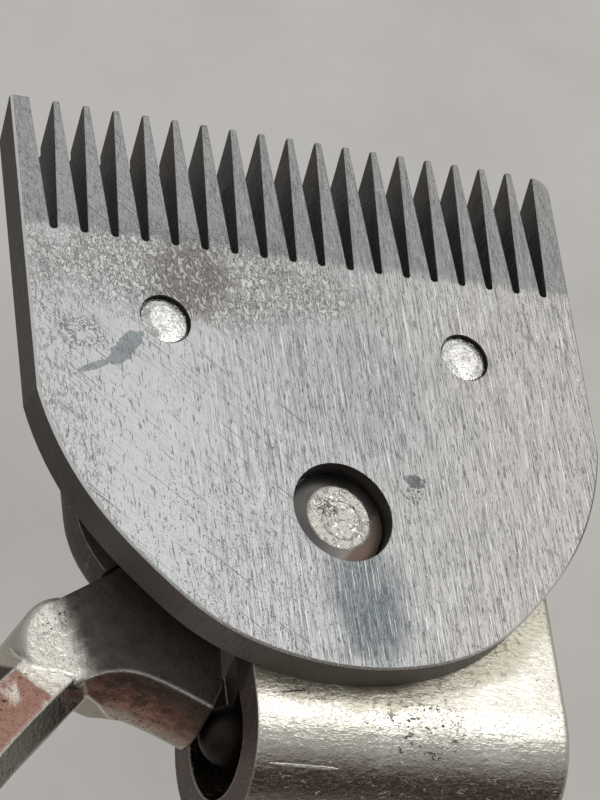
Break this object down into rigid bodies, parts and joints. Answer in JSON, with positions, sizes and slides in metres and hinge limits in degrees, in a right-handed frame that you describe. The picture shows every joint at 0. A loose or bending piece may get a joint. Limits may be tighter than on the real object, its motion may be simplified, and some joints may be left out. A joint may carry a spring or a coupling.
{
  "type": "animal hair clipper",
  "caption": "Two-handled hand clipper for animal hair: a toothed comb and sliding cutter driven by a sprung lever, lying with its sole up",
  "frame": {"origin": "on the pivot axis, at the flat end of the thumb nut that the clipper rests on", "axes": "+Z is the comb sole's outward normal, +Y points from the pivot to the tooth tips, +X is to the right of +Y seen from above the sole"},
  "size_m": [0.0951, 0.2403, 0.028],
  "materials": {
    "ground_steel": "surface-ground steel, lengthwise brushing, worn and slightly pitted",
    "bright_steel": "turned steel, polished by wear",
    "hard_steel": "hardened steel, oil-darkened",
    "spring_steel": "blued spring steel",
    "bronze": "machined bearing bronze",
    "nickel_plate": "old nickel plate on forged steel, pitted"
  },
  "bodies": {
    "frame": {"fixed_handle": "nickel_plate", "comb_plate": "ground_steel", "comb_pin_left": "bright_steel", "comb_pin_right": "bright_steel", "pivot_bolt": "bright_steel", "tension_washer": "spring_steel", "plain_washer": "nickel_plate", "return_spring": "spring_steel"},
    "lever": {"moving_handle": "nickel_plate", "lever_bush": "bronze", "drive_pin": "hard_steel"},
    "cutter": {"cutter_plate": "ground_steel"},
    "shoe": {"drive_shoe": "hard_steel"},
    "follower": {"spring_follower": "hard_steel"},
    "nut": {"thumb_nut": "nickel_plate"}
  },
  "joints": [
    {"name": "handle_squeeze", "type": "hinge", "parent": "frame", "child": "lever", "pos_m": [0, 0, 0.02], "axis": [0, 0, 1], "range_deg": [0, 10], "stiffness_Nm_per_rad": 5.3, "springref_deg": -11.46},
    {"name": "cutter_slide", "type": "slide", "parent": "frame", "child": "cutter", "axis": [1, 0, 0], "range_m": [-0.0031, 0]},
    {"name": "shoe_swivel", "type": "hinge", "parent": "lever", "child": "shoe", "pos_m": [0, 0.0172, 0.0233], "axis": [0, 0, 1], "range_deg": [-10.2, 0]},
    {"name": "follower_slide", "type": "slide", "parent": "frame", "child": "follower", "axis": [1, 0, 0], "range_m": [0, 0.0034], "deforming": ["return_spring"]},
    {"name": "nut_turn", "type": "hinge", "parent": "frame", "child": "nut", "pos_m": [0, 0, 0.006], "axis": [0, 0, 1], "continuous": true}
  ],
  "couplings": [
    {"joint": "cutter_slide", "follows": "handle_squeeze", "m_per_rad": -0.0172},
    {"joint": "shoe_swivel", "follows": "handle_squeeze", "ratio": -1},
    {"joint": "follower_slide", "follows": "handle_squeeze", "m_per_rad": 0.01902}
  ]
}
